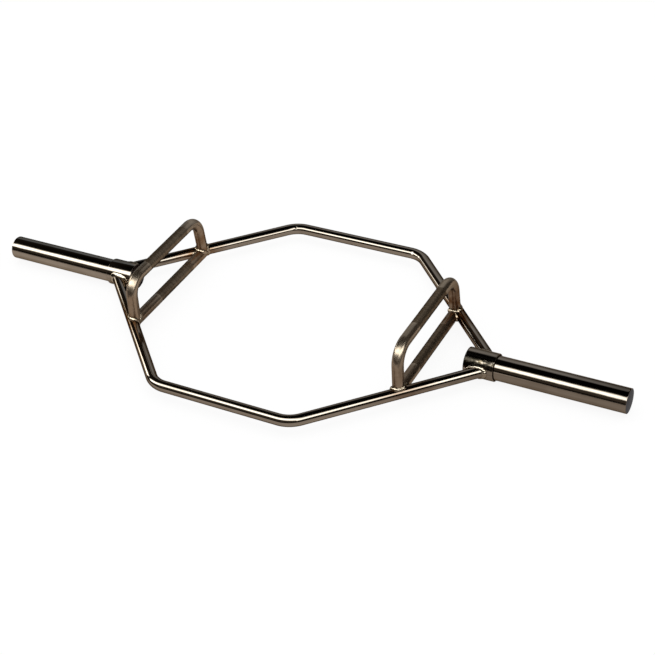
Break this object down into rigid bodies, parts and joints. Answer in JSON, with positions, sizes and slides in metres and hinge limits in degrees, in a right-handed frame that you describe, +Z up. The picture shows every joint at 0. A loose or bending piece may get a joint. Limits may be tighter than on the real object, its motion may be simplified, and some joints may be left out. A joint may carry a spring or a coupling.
{
  "type": "hex trap bar",
  "caption": "Six-sided welded weightlifting bar to stand inside, with plate sleeves on both sides, low grips in the frame and raised grips above them",
  "frame": {"origin": "under the middle of the bar, at the height of the lowest point of the collars", "axes": "X along the sleeves to the right, Y to the rear, Z up"},
  "size_m": [1.444, 0.62, 0.134],
  "materials": {
    "polished_plating": "polished dark nickel plating, warm grey, mirror-like along the bars",
    "satin_plating": "satin dark nickel plating with a knurled band in the middle of each grip",
    "weld_bead": "plated weld bead, rippled and bright"
  },
  "bodies": {
    "root": {"front_frame_bar": "polished_plating", "rear_frame_bar": "polished_plating", "left_collar": "polished_plating", "left_sleeve": "polished_plating", "left_sleeve_end_cap": "polished_plating", "left_inner_plug": "polished_plating", "left_low_handle": "satin_plating", "left_high_handle": "satin_plating", "left_sleeve_weld": "weld_bead", "left_front_frame_weld": "weld_bead", "left_front_low_handle_weld": "weld_bead", "left_front_high_handle_weld": "weld_bead", "left_rear_frame_weld": "weld_bead", "left_rear_low_handle_weld": "weld_bead", "left_rear_high_handle_weld": "weld_bead", "right_collar": "polished_plating", "right_sleeve": "polished_plating", "right_sleeve_end_cap": "polished_plating", "right_inner_plug": "polished_plating", "right_low_handle": "satin_plating", "right_high_handle": "satin_plating", "right_sleeve_weld": "weld_bead", "right_front_frame_weld": "weld_bead", "right_front_low_handle_weld": "weld_bead", "right_front_high_handle_weld": "weld_bead", "right_rear_frame_weld": "weld_bead", "right_rear_low_handle_weld": "weld_bead", "right_rear_high_handle_weld": "weld_bead"}
  },
  "joints": []
}
